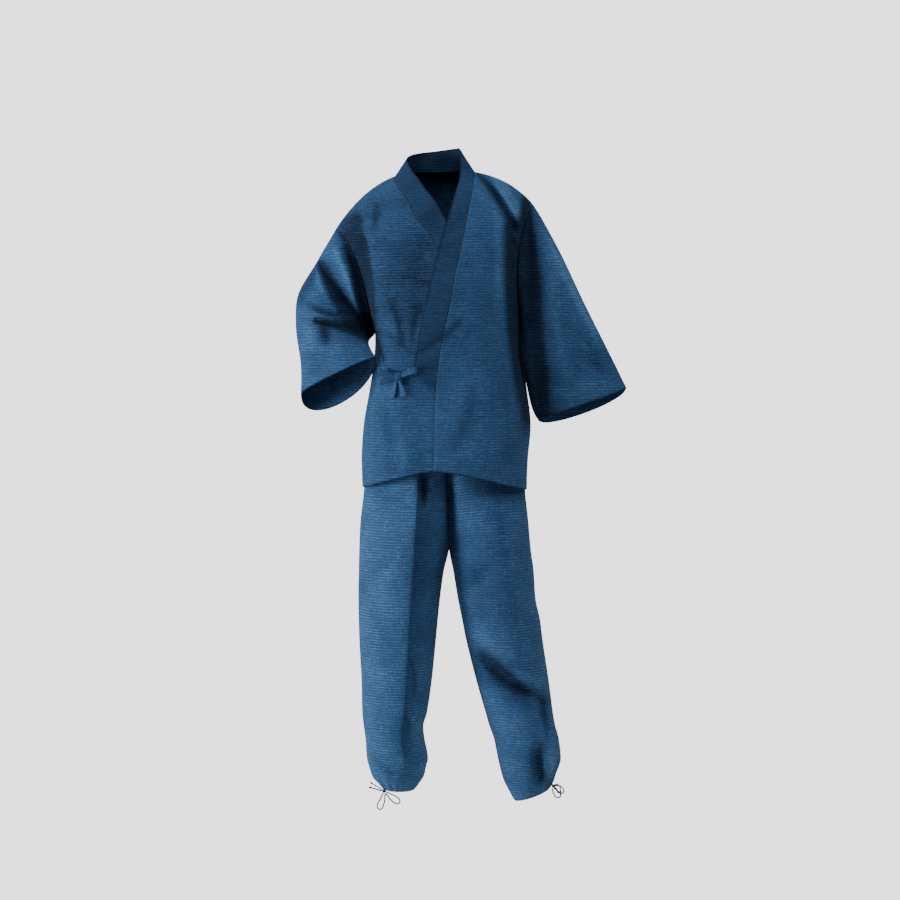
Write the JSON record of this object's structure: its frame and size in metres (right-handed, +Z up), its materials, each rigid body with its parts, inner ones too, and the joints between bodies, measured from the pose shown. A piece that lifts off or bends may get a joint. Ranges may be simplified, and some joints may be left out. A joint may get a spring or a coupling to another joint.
{
  "type": "samue",
  "caption": "Loose wrap-front work jacket with wide sleeves and a waist tie, over full trousers drawn in at the ankles by cords, in dark blue cotton, in a worn pose.",
  "frame": {"origin": "middle of the neck base, between the two shoulders, where the wearer carries the garment", "axes": "+Z up, -Y towards the front that is seen, +X towards the wearer's left"},
  "size_m": [0.7321, 0.2924, 1.4701],
  "materials": {
    "indigo_cotton": "matte slubbed cotton",
    "indigo_collar_cotton": "matte slubbed cotton, doubled",
    "indigo_tie_cotton": "matte slubbed cotton, folded strip",
    "dark_ankle_cord": "dark round braided cord"
  },
  "bodies": {
    "root": {"back": "indigo_cotton", "front_left": "indigo_cotton", "front_right": "indigo_cotton", "collar": "indigo_collar_cotton", "sleeve_left": "indigo_cotton", "sleeve_right": "indigo_cotton", "tie_strand_over": "indigo_tie_cotton", "tie_strand_under": "indigo_tie_cotton", "tie_loop_right": "indigo_tie_cotton", "tie_loop_left": "indigo_tie_cotton", "tie_tail_right": "indigo_tie_cotton", "tie_tail_left": "indigo_tie_cotton", "tie_knot": "indigo_tie_cotton", "trouser_front_right": "indigo_cotton", "trouser_back_right": "indigo_cotton", "trouser_front_left": "indigo_cotton", "trouser_back_left": "indigo_cotton", "waistband": "indigo_cotton", "ankle_knot_right": "dark_ankle_cord", "ankle_loop_right_low": "dark_ankle_cord", "ankle_loop_right_front": "dark_ankle_cord", "ankle_end_right_high": "dark_ankle_cord", "ankle_end_right_low": "dark_ankle_cord", "ankle_knot_left": "dark_ankle_cord", "ankle_loop_left_outer": "dark_ankle_cord", "ankle_loop_left_low": "dark_ankle_cord", "ankle_end_left_high": "dark_ankle_cord", "ankle_end_left_low": "dark_ankle_cord"}
  },
  "joints": []
}
